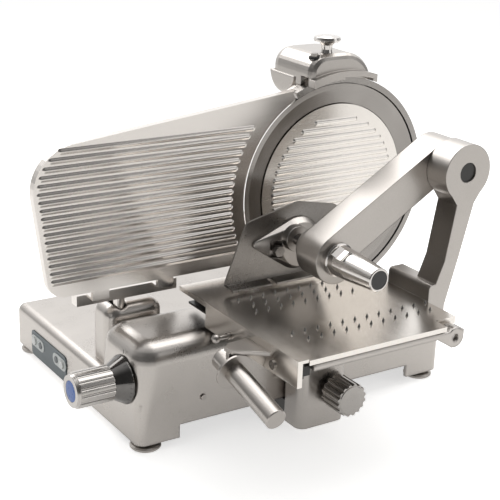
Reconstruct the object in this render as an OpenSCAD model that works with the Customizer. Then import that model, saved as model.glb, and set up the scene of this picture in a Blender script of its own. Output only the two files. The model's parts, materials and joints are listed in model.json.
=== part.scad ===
// Vertical slicer with a carriage that is pushed by hand. Millimetres, +Z up.
// X runs along the blade plane, Y from the user to the back, and the bench is at Z zero.
// Every piece is placed from the centre of the blade, as the real machine is set out.

/* [Base] */
// Width of the base casting
base_w = 507; // [500:1:512]
// Depth of the base casting
base_d = 399; // [392:1:406]
// Height of the low box above the bench
low_h = 75; // [74:1:77]
// Height of the tall carriage box above the bench
tall_h = 150; // [146:1:151]
// Distance from the blade axis to the tall box's right end
tall_off = 140; // [130:1:150]
// Depth of the tall box
tall_d = 119; // [116:1:121]
// Wall of the castings
wall = 6; // [5:0.5:7]
// Height of the feet under the casting
foot_h = 12; // [11:0.5:13]
// Radius of a foot
foot_r = 21; // [17:0.5:22]

/* [Blade] */
// Radius of the blade
blade_r = 150; // [148:0.5:151]
// Height of the blade axis above the bench
blade_h = 290; // [288:0.5:292]
// Distance from the base's right end to the blade axis
blade_inset = 142; // [138:1:146]
// Distance from the base's front face back to the blade plane
blade_back = 99; // [98:0.5:100]
// Width of the blade that shows round the cover
blade_band = 29; // [26:0.5:33]
// Radial width of the ring guard
ring_w = 8.5; // [7.5:0.5:9]
// Depth of the ring guard
ring_d = 18; // [17:0.5:19]

/* [Gauge plate] */
// Reach of the gauge plate to the left of the blade axis
gauge_reach = 460; // [455:1:466]
// Height of the gauge plate's foot above the bench
gauge_foot = 198; // [196:1:200]
// Thickness of the gauge plate
gauge_t = 2.5; // [2:0.25:3]
// Depth of the folded rim
gauge_rim = 12; // [10:0.5:14]
// Pitch of the ribs
rib_pitch = 10.7; // [10.5:0.1:10.9]
// Travel of the gauge plate, the thickest slice
gauge_travel = 14; // [12:0.5:14]

/* [Carriage] */
// Width of the carriage column
column_w = 77; // [72:1:82]
// Depth of the carriage column
column_d = 46; // [42:1:50]
// Running gap between the column and the base
column_gap = 2.5; // [2.25:0.25:3]
// Radius of the carriage guide rod
guide_r = 10; // [9:0.5:11]

/* [Table] */
// Height of the table above the bench
table_h = 186; // [185.5:0.5:187]
// Width of the table sheet from its left edge to its right edge
table_w = 262; // [256:1:266]
// Depth of the table sheet
table_d = 285; // [280:1:290]
// Gap between the table's rear edge and the blade plane
table_gap = 6; // [5:0.5:8]
// Pitch of the spikes
spike_pitch = 19.5; // [19:0.25:20]
// Height of a spike
spike_h = 5; // [4:0.5:5]

/* [Arm] */
// Height of the arm's pivot above the table
pivot_up = 172; // [170:1:174]
// Distance from the blade axis to the arm's pivot
pivot_x = 60; // [58:1:62]
// Width of the arm
arm_w = 44; // [42:0.5:45]
// Radius of the arm's pivot end
arm_head_r = 36; // [34:0.5:37]
// Radius of the arm's eye
arm_eye_r = 34; // [33:0.5:35]
// Radius of the pusher shaft
shaft_r = 8; // [7:0.5:9]

/* [Handles] */
// Radius of the carriage handle's bar
bar_r = 13.5; // [12:0.5:14.5]
// Length of the carriage handle's bar
bar_len = 95; // [90:1:98]
// Tilt of the handle's bar below level, in degrees
bar_tilt = 14.5; // [12:0.5:17]
// Radius of the thickness knob
knob_r = 24; // [22:0.5:26]
// Length of the thickness knob
knob_len = 53; // [50:1:56]

/* [Hidden] */

$fn = 48;
// Facets of the corners of the rounded castings
soft_fn = 32;
// Facets of the largest circles
fine_fn = 96;
// Overrun of a cut past the face that it opens
over = 1;
// Clearance between pieces that move past each other
gap = 0.3;
// Radial clearance of a running fit
fit = 0.05;

// Edges of the base, the bench and the ring, from the blade's centre
bx0 = blade_inset - base_w;
bx1 = blade_inset;
by0 = -blade_back;
by1 = by0 + base_d;
bench = -blade_h;
foot_top = bench + foot_h;
low_top = bench + low_h;
tall_top = bench + tall_h;
ring_gap = 1.5;
ring_r = blade_r + ring_gap;
ring_out = ring_r + ring_w;
cover_r = blade_r - blade_band;
gauge_drop = blade_h - gauge_foot;
table_z = bench + table_h;
pivot_z = table_z + pivot_up;

// The handle's end is the front of the machine
guard_y = -207;
guard_drop = 38;
guard_z = table_z - guard_drop;
front_y = guard_y - bar_len * cos(bar_tilt) - bar_r * sin(bar_tilt);

// The whole machine stands centred over the origin
module machine() {
  translate([(gauge_reach - ring_out) / 2, -(front_y + by1) / 2, blade_h]) children();
}

// A flat outline in X and Z, thick along Y from y0
module slab_y(y0, t) { translate([0, y0 + t, 0]) rotate([90, 0, 0]) linear_extrude(t) children(); }

// A flat outline in Y and Z, thick along X from x0
module slab_x(x0, t) { translate([x0, 0, 0]) rotate([90, 0, 90]) linear_extrude(t) children(); }

// A flat outline in X and Y, thick along Z on both sides of zero
module slab_z(t) { translate([0, 0, -t / 2]) linear_extrude(t) children(); }

// A round bar along Y or X
module rod_y(y0, len, r) { translate([0, y0, 0]) rotate([-90, 0, 0]) cylinder(h = len, r = r); }
module rod_x(x0, len, r) { translate([x0, 0, 0]) rotate([0, 90, 0]) cylinder(h = len, r = r); }

// A turned piece on the Y axis: the outline's first number is the radius, its second is Y
module turned_y() { rotate([-90, 0, 0]) rotate_extrude() children(); }

// A box between two corners
module box(a, b) { translate(a) cube(b - a); }

// A rectangle with round corners, between two corners
module round_rect(a, b, r) {
  translate([a[0] + r, a[1]]) square([b[0] - a[0] - 2 * r, b[1] - a[1]]);
  translate([a[0], a[1] + r]) square([b[0] - a[0], b[1] - a[1] - 2 * r]);
  for (x = [a[0] + r, b[0] - r], y = [a[1] + r, b[1] - r]) translate([x, y]) circle(r);
}

// A cast box with round top and upright edges and a flat foot
module soft_box(a, b, r) {
  w = b - a;
  top = w[2] - r;
  translate(a) {
    for (x = [r, w[0] - r], y = [r, w[1] - r]) translate([x, y, 0]) {
      cylinder(h = top, r = r);
      translate([0, 0, top]) sphere(r);
    }
    for (x = [r, w[0] - r]) translate([x, r, top]) rotate([-90, 0, 0]) cylinder(h = w[1] - 2 * r, r = r);
    for (y = [r, w[1] - r]) translate([r, y, top]) rotate([0, 90, 0]) cylinder(h = w[0] - 2 * r, r = r);
    translate([r, r, 0]) cube([w[0] - 2 * r, w[1] - 2 * r, w[2]]);
    translate([0, r, 0]) cube([w[0], w[1] - 2 * r, top]);
    translate([r, 0, 0]) cube([w[0] - 2 * r, w[1], top]);
  }
}

// A cast box whose top edges are rounder than its upright edges
module crowned_box(a, b, r, upright_r) {
  hull() {
    for (i = [0, 1], j = [0, 1]) {
      x = i == 0 ? a[0] : b[0];
      y = j == 0 ? a[1] : b[1];
      dx = i == 0 ? 1 : -1;
      dy = j == 0 ? 1 : -1;
      translate([x + dx * r, y + dy * r, b[2] - r]) sphere(r, $fn = soft_fn);
      translate([x + dx * upright_r, y + dy * upright_r, a[2]]) cylinder(h = r / 2, r = upright_r, $fn = soft_fn);
    }
  }
}

// Base casting: a low box, a tall box at the front left and bosses over the feet
low_soft = 12;
tall_soft = 30;
upright_soft = 12;
tall_wall = tall_soft / 2;
pad_w = 61;
edge_lift = 19;
foot_inset = 21;
boss_r = 16;
foot_hole_r = 4;
tall_x1 = -tall_off;
tall_y1 = by0 + tall_d;
foot_places = [for (x = [bx0 + foot_inset, bx1 - foot_inset], y = [by0 + foot_inset, by1 - foot_inset]) [x, y]];
front_screw_in = [96, 63];
front_screw = [bx0 + front_screw_in[0], bench + front_screw_in[1]];
screw_r = 4;
button_r = 6;
button_up = 26;
pill_places = [217, 141];
button_off = 10;
button_side = [1, -1];
button_places = [for (i = [0, 1]) pill_places[i] + button_side[i] * button_off];
lamp_places = [for (i = [0, 1]) pill_places[i] - button_side[i] * button_off];
knob_y = -56;
knob_h = 93;
knob_z = bench + knob_h;
spindle_r = 6;
neck_half = 62;
neck_y0 = 24;
neck_d = 62;
neck_y1 = neck_y0 + neck_d;
link_r = 4;
post_r = 8;
post_in = 40;
post_x = bx0 + post_in;
post_y = 35;
cam_off = 16;
cam_x = post_x + cam_off;

module button_axes() { for (y = button_places) translate([0, y, foot_top + button_up]) children(); }

module base_housing() {
  color("silver") machine() difference() {
    union() {
      difference() {
        union() {
          crowned_box([bx0, by0, foot_top], [tall_x1, tall_y1, tall_top], tall_soft, upright_soft);
          soft_box([bx0, by0 + tall_soft, foot_top], [bx1, by1, low_top], low_soft);
          soft_box([tall_x1 - tall_soft - low_soft, by0, foot_top], [bx1, by1 - tall_soft, low_top], low_soft);
        }
        box([bx0 + wall, by0 + wall, foot_top - wall], [bx1 - wall, by1 - wall, low_top - wall]);
        box([bx0 + tall_wall, by0 + tall_wall, foot_top], [tall_x1 - tall_wall, tall_y1 - wall, tall_top - tall_wall]);
      }
      for (p = foot_places) translate([p[0], p[1], foot_top]) cylinder(h = low_h - foot_h - wall / 2, r = boss_r);
    }
    // The front wall is lifted between its pads, and the carriage shoe passes below it
    box([bx0 + pad_w, by0 - over, foot_top - over], [bx1 - pad_w, by0 + wall + over, foot_top + edge_lift]);
    for (p = foot_places) translate([p[0], p[1], foot_top - over]) cylinder(h = 4 * wall, r = foot_hole_r);
    translate([0, knob_y, knob_z]) rod_x(bx0 - over, tall_wall + 2 * over, spindle_r + fit);
    translate([cam_x, 0, knob_z]) rod_y(tall_y1 - wall - over, wall + 2 * over, link_r + gap);
    translate([front_screw[0], 0, front_screw[1]]) rod_y(by0 - over, wall + 2 * over, screw_r - over);
    button_axes() rod_x(bx0 - over, wall + 2 * over, button_r + gap);
    // Opening under the neck for the belt
    box([2 * wall - neck_half, neck_y0 + wall, low_top - wall - over], [neck_half - 2 * wall, neck_y1 - wall, low_top + over]);
  }
}

// Bottom plate behind the carriage bay, held on its four edges
plate_t = 2;
guide_back = 49;
guide_y = by0 + guide_back;
plate_y0 = guide_y + 3 * guide_r;
module base_plate() {
  color("gray") machine() difference() {
    box([bx0 + wall, plate_y0, foot_top + plate_t], [bx1 - wall, by1 - wall, foot_top + 2 * plate_t]);
    for (p = foot_places) translate([p[0], p[1], foot_top]) cube([2 * boss_r + over, 2 * boss_r + over, 2 * wall], center = true);
  }
}

// Feet: a turned disc with a stem in the boss
stem_r = foot_hole_r - fit;
foot_neck_r = 9;
module feet() {
  rim = foot_h / 3;
  color("silver") machine() for (p = foot_places) translate([p[0], p[1], bench]) rotate_extrude() polygon([
    [0, 0], [foot_r - rim / 2, 0], [foot_r, rim / 2], [foot_r, rim], [foot_r - rim / 2, rim * 1.5],
    [foot_neck_r, foot_h - rim / 2], [foot_neck_r, foot_h], [stem_r, foot_h], [stem_r, foot_h + 3 * wall],
    [0, foot_h + 3 * wall]
  ]);
}

// Screw of the base's front face
screw_head = 2;
module base_screws() {
  color("dimgray") machine() translate([front_screw[0], 0, front_screw[1]]) {
    rod_y(by0 - screw_head, screw_head, screw_r);
    rod_y(by0 - over, wall + over, screw_r - over - fit);
  }
}

// Control panel on the left face
panel_y = [120, 240];
panel_h = 41;
panel_t = 1.2;
panel_soft = 7;
module control_panel() {
  color("darkslategray") machine() difference() {
    slab_x(bx0 - panel_t, panel_t)
      round_rect([panel_y[0], foot_top + over], [panel_y[1], foot_top + panel_h], panel_soft);
    button_axes() rod_x(bx0 - panel_t - over, panel_t + 2 * over, button_r + gap);
  }
}

// Surrounds: a pill shaped plate round each button and its lamp
surround_t = 0.8;
pill = [44, 18];
module button_surrounds() {
  color("gainsboro") machine() difference() {
    for (y = pill_places) translate([0, y, foot_top + button_up])
      slab_x(bx0 - panel_t - surround_t, surround_t) round_rect(-pill / 2, pill / 2, pill[1] / 2 - fit);
    button_axes() rod_x(bx0 - panel_t - surround_t - over, wall, button_r + gap);
  }
}
button_out = 2.5;
button_lip = 2;
module push_button(y) {
  front = bx0 - panel_t - surround_t - button_out;
  machine() translate([0, y, foot_top + button_up]) {
    rod_x(front, bx0 + wall + gap - front, button_r);
    rod_x(bx0 + wall + gap - fit, button_lip, button_r + button_lip);
  }
}
module start_button() { color("whitesmoke") push_button(button_places[0]); }
module stop_button() { color("whitesmoke") push_button(button_places[1]); }
lamp_t = 1;
lamp_r = 5;
module panel_lamps() {
  color("darkgreen") machine() for (y = lamp_places) translate([0, y, foot_top + button_up])
    rod_x(bx0 - panel_t - surround_t - lamp_t, lamp_t, lamp_r);
}

// Pedestal behind the tall box, slotted on top for the gauge post
pedestal_w = 86;
pedestal_d = 55;
pedestal_h = 85;
pedestal_soft = 18;
pedestal_in = 17;
pedestal_x0 = bx0 + pedestal_in;
ped_y0 = tall_y1;
ped_y1 = ped_y0 + pedestal_d;
ped_top = low_top + pedestal_h;
rail_r = 5;
rail_up = 48;
rail_z = low_top + rail_up;
slot_gap = 2;
module gauge_pedestal() {
  x1 = pedestal_x0 + pedestal_w;
  color("silver") machine() difference() {
    soft_box([pedestal_x0, ped_y0, low_top], [x1, ped_y1, ped_top], pedestal_soft);
    box([pedestal_x0 + wall, ped_y0 + wall, low_top - wall], [x1 - wall, ped_y1 - wall, ped_top - 2 * wall]);
    translate([0, 0, ped_top - 3 * wall]) {
      for (y = [post_y, post_y + gauge_travel]) translate([post_x, y, 0]) cylinder(h = 4 * wall, r = post_r + slot_gap);
      translate([post_x - post_r - slot_gap, post_y, 0]) cube([2 * (post_r + slot_gap), gauge_travel, 4 * wall]);
    }
    translate([cam_x, 0, knob_z]) rod_y(ped_y0 - over, wall + 2 * over, link_r + gap);
    translate([post_x, 0, rail_z]) rod_y(ped_y0 + wall / 2, pedestal_d - wall, rail_r + fit);
  }
}

// Guide rods: the gauge slide's in the pedestal, and the carriage's in the base
guide_up = 30;
guide_z = foot_top + guide_up;
block_t = 12;
guide_in = 18;
guide_x0 = bx0 + pad_w - guide_in;
guide_x1 = bx1 - pad_w + guide_in + over;
module guide_rods() {
  color("lightgray") machine() {
    translate([post_x, 0, rail_z]) rod_y(ped_y0 + wall / 2, pedestal_d - wall, rail_r);
    translate([0, guide_y, guide_z]) rod_x(guide_x0, guide_x1 - guide_x0, guide_r);
  }
}
module guide_rod_blocks() {
  color("gray") machine() for (x = [guide_x0, guide_x1 - block_t]) difference() {
    box([x, by0 + wall, guide_z - guide_r - wall], [x + block_t, guide_y + guide_r + wall, guide_z + guide_r + wall]);
    translate([0, guide_y, guide_z]) rod_x(x - over, block_t + 2 * over, guide_r + fit);
  }
}

// Housing behind the blade: a hollow neck with two bearing seats and a quadrant that backs the ring
bearing_r = 21;
bearing_w = 12;
seat_wall = 8;
ring_y0 = -2;
quadrant_y = ring_y0 + ring_d;
quadrant_t = neck_y0 - quadrant_y;
ring_a0 = -100;
ring_a1 = 117;
hub_r = 10;
motor_up = 75;
motor_drop = blade_h - low_h - motor_up;
motor_off = 5;
shaft_hole_r = 12;
module neck_outline(r) {
  circle(r, $fn = fine_fn);
  translate([-r, low_top]) square([2 * r, -low_top]);
}
module ring_sweep() { rotate([90, 0, 0]) rotate([0, 0, ring_a0]) rotate_extrude(angle = ring_a1 - ring_a0) children(); }
// Plan of the quadrant: the ring's disc without the wedge that the gauge plate takes, and a round middle
module quadrant_outline() {
  difference() {
    circle(ring_out, $fn = fine_fn);
    polygon([
      [0, 0],
      for (a = [ring_a1, (ring_a1 + ring_a0 + 360) / 2, ring_a0 + 360]) 4 * ring_out * [cos(a), sin(a)]
    ]);
  }
  circle(neck_half + wall / 2);
}
module blade_housing() {
  color("silver") machine() difference() {
    union() {
      difference() {
        slab_y(neck_y0, neck_d) neck_outline(neck_half);
        slab_y(neck_y0 + wall, neck_d - 2 * wall) translate([0, -over]) neck_outline(neck_half - wall);
      }
      rod_y(neck_y0, bearing_w + wall, bearing_r + seat_wall);
      rod_y(neck_y1 - bearing_w - wall, bearing_w + wall, bearing_r + seat_wall);
      slab_y(quadrant_y, quadrant_t + over) quadrant_outline();
    }
    rod_y(quadrant_y - over, neck_y1 - quadrant_y + 2 * over, shaft_hole_r);
    rod_y(neck_y0 + wall, bearing_w + over, bearing_r);
    rod_y(neck_y1 - wall - bearing_w - over, bearing_w + over, bearing_r);
    translate([motor_off, 0, -motor_drop]) rod_y(neck_y1 - wall - over, wall + 2 * over, shaft_hole_r);
  }
}
module spindle_bearings() {
  color("lightgray") machine() for (y = [neck_y0 + wall, neck_y1 - wall - bearing_w]) difference() {
    rod_y(y, bearing_w, bearing_r - fit);
    rod_y(y - over, bearing_w + 2 * over, hub_r + fit);
  }
}

// Ring guard round the edge that doesn't cut, with the seat of the sharpener's clamp
clamp_x = -19.5;
clamp_y = 5;
clamp_r = 4;
seat_w = 20;
seat_d = 12;
seat_top = ring_out + 6;
module ring_guard() {
  color("silver") machine() {
    ring_sweep() translate([ring_r, -quadrant_y]) square([ring_w, ring_d]);
    box([clamp_x - seat_w / 2, clamp_y - seat_d / 2, ring_r + ring_w / 2 - over], [clamp_x + seat_w / 2, clamp_y + seat_d / 2, seat_top]);
  }
}

// Blade: hollow front with a recess for the cover, and a bevelled edge
blade_t = 10.5;
edge_t = 0.4;
bevel_w = 8;
cover_gap = 1.5;
recess = 6.5;
tie_r = 4;
blade_screw_r = 3;
blade_screw_ring = 22;
module blade_screws_at() { for (a = [0, 120, 240]) rotate([0, a, 0]) translate([blade_screw_ring, 0, 0]) children(); }
module blade() {
  rim_r = cover_r + cover_gap;
  color("dimgray") machine() difference() {
    turned_y() polygon([
      [hub_r, recess], [rim_r, recess], [rim_r, recess / 3], [blade_r - bevel_w, recess / 5],
      [blade_r, 0], [blade_r, edge_t], [rim_r, blade_t], [hub_r, blade_t]
    ], $fn = fine_fn);
    blade_screws_at() rod_y(0, blade_t + over, blade_screw_r + fit);
  }
}

// Spindle: a hollow shaft with a flange, and the three screws that hold the blade
flange_r = 30;
flange_t = 4.5;
spindle_end = neck_y1 + 4;
module blade_spindle() {
  color("lightgray") machine() difference() {
    union() {
      rod_y(recess, spindle_end - recess, hub_r - fit);
      rod_y(blade_t, flange_t, flange_r);
      blade_screws_at() {
        rod_y(recess, blade_t - recess + over, blade_screw_r);
        rod_y(recess - over, over, 2 * blade_screw_r);
      }
    }
    rod_y(0, spindle_end + over, tie_r + over);
  }
}

// Pulleys and belt inside the neck
pulley_y = 47;
pulley_w = 16;
pulley_r = 42;
motor_pulley_r = 21;
groove = 1.5;
motor_shaft_r = 6;
module grooved(r, bore) {
  y1 = pulley_y + pulley_w;
  turned_y() polygon([
    [bore, pulley_y], [r + groove, pulley_y], [r + groove, pulley_y + groove], [r, pulley_y + groove],
    [r, y1 - groove], [r + groove, y1 - groove], [r + groove, y1], [bore, y1]
  ]);
}
module blade_pulley() { color("gray") machine() grooved(pulley_r, hub_r); }
module motor_pulley() {
  color("gray") machine() translate([motor_off, 0, -motor_drop]) {
    grooved(motor_pulley_r, motor_shaft_r - over);
    rod_y(pulley_y, motor_y0 + motor_stub - pulley_y, motor_shaft_r);
  }
}
belt_t = 3;
module belt_line(extra) {
  hull() {
    circle(pulley_r + extra);
    translate([motor_off, -motor_drop]) circle(motor_pulley_r + extra);
  }
}
module drive_belt() {
  color("black") machine() slab_y(pulley_y + 2 * groove, pulley_w - 4 * groove) difference() {
    belt_line(belt_t + gap);
    belt_line(gap);
  }
}

// Motor and its casing behind the neck
motor_r = 48;
motor_len = 96;
motor_y0 = neck_y1 + wall;
motor_stub = 8;
casing_r = 58;
casing_len = 122;
casing_soft = 20;
casing_foot = 46;
module motor() {
  color("darkgray") machine() translate([motor_off, 0, -motor_drop]) difference() {
    union() {
      rod_y(motor_y0, motor_len, motor_r);
      rod_y(neck_y1, wall + over, motor_r / 2);
    }
    rod_y(neck_y1 - over, wall + motor_stub + 2 * over, motor_shaft_r + fit);
  }
}
module motor_casing() {
  y1 = neck_y1 + casing_len;
  color("silver") machine() translate([motor_off, 0, -motor_drop]) difference() {
    union() {
      turned_y() {
        translate([0, neck_y1]) square([casing_r, casing_len - casing_soft]);
        translate([0, neck_y1]) square([casing_r - casing_soft, casing_len]);
        translate([casing_r - casing_soft, y1 - casing_soft]) circle(casing_soft);
      }
      box([-casing_foot, neck_y1, low_top + motor_drop], [casing_foot, y1 - casing_soft, 0]);
    }
    rod_y(neck_y1 - over, motor_len + 2 * wall, motor_r + over);
  }
}

// Cover disc, its ribs, and the tie rod that holds it through the hollow spindle
cover_t = 3;
cover_y = 0.4;
rib_h = 1.6;
rib_half = 3.2;
cover_margin = 19;
cover_ribs = 9;
module rib_profile(y) {
  // A low round bead that stands towards the user
  r = (rib_half * rib_half + rib_h * rib_h) / (2 * rib_h);
  intersection() {
    translate([y + r - rib_h, 0]) circle(r);
    translate([y - rib_h - over, -rib_half]) square([rib_h + over + fit, 2 * rib_half]);
  }
}
module cover_disc() {
  rib_r = cover_r - cover_margin;
  color("gainsboro") machine() {
    rod_y(cover_y, cover_t, cover_r, $fn = fine_fn);
    for (i = [-cover_ribs:cover_ribs]) {
      half = sqrt(rib_r * rib_r - pow(i * rib_pitch, 2));
      translate([0, 0, i * rib_pitch]) slab_x(-half, 2 * half) rib_profile(cover_y);
    }
  }
}
tie_knob = [17, 19];
tie_soft = 3;
module cover_tie_rod() {
  y0 = spindle_end + 2 * over;
  back = y0 + tie_knob[1];
  color("lightgray") machine() {
    rod_y(cover_y + cover_t, recess - cover_y - cover_t - 2 * over, 2 * tie_r);
    rod_y(cover_y + cover_t, y0 + over - cover_y - cover_t, tie_r);
    turned_y() polygon([
      [0, y0], [tie_knob[0] - tie_soft, y0], [tie_knob[0], y0 + tie_soft], [tie_knob[0], back - tie_soft],
      [tie_knob[0] - tie_soft, back], [0, back]
    ]);
  }
}

// Sharpener over the top of the ring: a domed hood whose front flange follows the ring
hood_x = [-56, 52];
hood_y = [-12, 85];
hood_up = 34;
hood_top = ring_out + hood_up;
hood_left_r = 26;
hood_dome = [5, 47];
hood_skirt = 10;
hood_foot = ring_out - hood_skirt;
hood_foot_h = 8;
hood_wall = 6;
hood_rear_z = ring_out;
hood_roof = 16;
flange_front = 9;
flange_h = 11;
arch = [-4, 45];
arch_h = 4;
side_arch = [-5, 12];
side_arch_h = 7;
// Slices of the hood: shares of its depth, with each slice's inset
hood_slice_shares = [0, 0.03, 0.09, 0.85, 0.95, 1];
hood_insets = [8, 3, 0, 0, 3, 10];
slice_t = 0.1;
button_well = 8;
well_h = 6;
stone_x = -43;
stone_y = 1;
stone_btn_r = 5;
module hood_slice(y, i) {
  translate([hood_x[0] + hood_left_r, 0, hood_top - hood_left_r]) rod_y(y, slice_t, hood_left_r - i, $fn = soft_fn);
  translate([hood_dome[0], 0, hood_top - hood_dome[1]]) rod_y(y, slice_t, hood_dome[1] - i, $fn = soft_fn);
  box([hood_x[0] + i, y, hood_foot], [hood_x[1] - i, y + slice_t, hood_foot + hood_foot_h]);
}
module sharpener_hood() {
  depth = hood_y[1] - hood_y[0] - slice_t;
  color("gainsboro") machine() difference() {
    union() {
      hull() for (k = [0:len(hood_insets) - 1]) hood_slice(hood_y[0] + hood_slice_shares[k] * depth, hood_insets[k]);
      slab_y(hood_y[0] - flange_front, flange_front + hood_wall) intersection() {
        circle(ring_out + flange_h, $fn = fine_fn);
        translate([hood_x[0] + over, 0]) square([hood_x[1] - hood_x[0] - over, hood_top]);
      }
    }
    // Hollow inside, open below for the stones and the blade's edge
    box([hood_x[0] + hood_wall, hood_y[0] + hood_wall, 0], [hood_dome[0] + hood_dome[1] / 2, hood_y[1] - 2 * hood_wall, hood_top - hood_roof]);
    rod_y(hood_y[0] - flange_front - over, hood_y[1] - hood_y[0] + flange_front + 2 * over, ring_out + gap, $fn = fine_fn);
    box([hood_x[0] - over, neck_y0, 0], [hood_x[1] + over, hood_y[1] + over, hood_rear_z]);
    // Arches in the flange and in the left side
    slab_y(hood_y[0] - flange_front - over, flange_front + hood_wall) intersection() {
      circle(ring_out + arch_h, $fn = fine_fn);
      translate([arch[0], 0]) square([arch[1] - arch[0], hood_top]);
    }
    box([hood_x[0] - over, side_arch[0], 0], [hood_x[0] + 2 * hood_wall, side_arch[1], hood_foot + 2 * side_arch_h]);
    translate([clamp_x, clamp_y, ring_out]) cylinder(h = hood_top, r = clamp_r + fit);
    translate([stone_x, stone_y, ring_out]) cylinder(h = hood_top, r = stone_btn_r + fit);
    translate([stone_x, stone_y, hood_top - well_h]) cylinder(h = hood_top, r = button_well);
  }
}
// Half round cup that covers the stones behind the blade
cup_up = 3;
cup = [58, ring_out + cup_up];
cup_r = 30;
cup_w = 30;
module sharpener_cup() {
  color("gainsboro") machine() difference() {
    translate([0, cup[0], cup[1]]) rod_x(hood_x[0], cup_w, cup_r);
    translate([0, cup[0], cup[1]]) rod_x(hood_x[0] + wall / 2, cup_w, cup_r - wall / 2);
    box([hood_x[0] - over, 0, hood_rear_z], [0, cup[0] + cup_r + over, hood_top]);
  }
}
// Mushroom knob that clamps the sharpener to the ring
mushroom_r = 19;
mushroom_h = 24;
// Turned outline of the mushroom: shares of its radius and of its height
mushroom_shares = [
  [0, 0], [0.44, 0], [0.38, 0.2], [0.42, 0.45], [0.62, 0.62], [0.95, 0.68], [1, 0.78], [0.92, 0.92], [0.5, 1], [0, 1]
];
module sharpener_knob() {
  color("gainsboro") machine() translate([clamp_x, clamp_y, hood_top + gap]) {
    rotate_extrude() polygon([for (p = mushroom_shares) [p[0] * mushroom_r, p[1] * mushroom_h]]);
    translate([0, 0, seat_top - hood_top]) cylinder(h = hood_top - seat_top + over, r = clamp_r);
  }
}
module stone_button() {
  low = hood_roof + over + gap;
  color("dimgray") machine() translate([stone_x, stone_y, hood_top]) {
    translate([0, 0, -low]) cylinder(h = low + 2 * over, r = stone_btn_r);
    translate([0, 0, -low]) cylinder(h = over, r = stone_btn_r + over);
  }
}
// Two stones on an arbor under the hood
stone_up = 6;
stone = [12, ring_out + stone_up];
stone_r = 10;
stone_w = 8;
arbor_r = 3;
module sharpener_stones() {
  color("silver") machine() translate([stone[0], 0, stone[1]]) {
    rod_y(neck_y0 + gap, hood_y[1] - 2 * hood_wall - neck_y0 - gap, arbor_r);
    for (y = [neck_y0 + 2 * hood_wall, hood_y[1] - 5 * hood_wall]) rod_y(y, stone_w, stone_r);
  }
}

// Thickness knob, its cone dial and its spindle with a spiral cam
cone_len = 22;
cone_r = 33;
cone_rim = 2;
flutes = 16;
flute_r = 2.6;
knob_soft = 5;
badge_r = 14.5;
badge_t = 0.6;
cam_r = 12;
cam_turn = 330;
cam_t = 10;
roller_r = 5;
module at_knob() { translate([bx0 - gap, knob_y, knob_z]) rotate([0, -90, 0]) children(); }
module thickness_knob() {
  color("silver") machine() at_knob() translate([0, 0, cone_len]) difference() {
    union() {
      linear_extrude(knob_len - knob_soft) difference() {
        circle(knob_r);
        for (i = [0:flutes - 1]) rotate([0, 0, i * 360 / flutes]) translate([knob_r + flute_r / 3, 0]) circle(flute_r);
      }
      translate([0, 0, knob_len - knob_soft]) cylinder(h = knob_soft, r1 = knob_r - flute_r / 2, r2 = knob_r - flute_r);
    }
    translate([0, 0, knob_len - badge_t]) cylinder(h = badge_t + over, r = badge_r);
    translate([0, 0, -over]) cylinder(h = cone_len, r = spindle_r);
  }
}
module dial_cone() {
  color("white") machine() at_knob() rotate_extrude() polygon([
    [spindle_r, 0], [cone_r, 0], [cone_r, cone_rim], [knob_r - flute_r, cone_len], [spindle_r, cone_len]
  ]);
}
module thickness_spindle() {
  steps = 44;
  color("gray") machine() {
    at_knob() translate([0, 0, bx0 - cam_x - cam_t]) cylinder(h = cam_x + cam_t - bx0 + 2 * cone_len - 2 * over, r = spindle_r - fit);
    translate([cam_x - cam_t / 2, knob_y, knob_z]) rotate([90, 0, 90]) linear_extrude(cam_t) polygon(concat(
      [for (i = [0:steps]) let (a = cam_turn * i / steps, r = cam_r + gauge_travel * i / steps) [r * cos(a), -r * sin(a)]],
      [[cam_r * cos(cam_turn), -cam_r * sin(cam_turn)]]
    ));
  }
}

// Gauge plate: a ribbed sheet with a folded rim, cut round the blade and its ring
gauge_big_r = 60;
gauge_small_r = 25;
gauge_lean = 16;
// Corner of the gauge plate over the blade: shares of the blade's radius
gauge_top_shares = [-0.4533, 0.9767];
gauge_top = blade_r * gauge_top_shares;
gauge_top_r = 2;
gauge_shoulder = 49;
gauge_toe = [-150, -112];
gauge_toe_h = 60;
blade_clear = 2.5;
gauge_rib_top = 101;
rib_foot = 21;
gauge_ribs = floor((gauge_rib_top + gauge_drop - rib_foot) / rib_pitch) + 1;
rib_margin = 23;
rib_side = 8;
module gauge_outline(inset) {
  difference() {
    hull() {
      translate([-gauge_reach + gauge_big_r, gauge_shoulder]) circle(gauge_big_r - inset);
      translate([-gauge_reach + gauge_lean + gauge_small_r, gauge_small_r - gauge_drop]) circle(gauge_small_r - inset);
      translate([gauge_top[0] - gauge_top_r, gauge_top[1] - gauge_top_r - inset]) circle(gauge_top_r);
      translate([gauge_toe[0], inset - gauge_drop]) square([gauge_toe[1] - gauge_toe[0], gauge_toe_h]);
    }
    circle(blade_r + blade_clear, $fn = fine_fn);
    intersection() {
      circle(ring_out + blade_clear, $fn = fine_fn);
      rotate([0, 0, ring_a1 + 1]) translate([0, -blade_r]) square([2 * blade_r, blade_r]);
    }
  }
}
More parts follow.
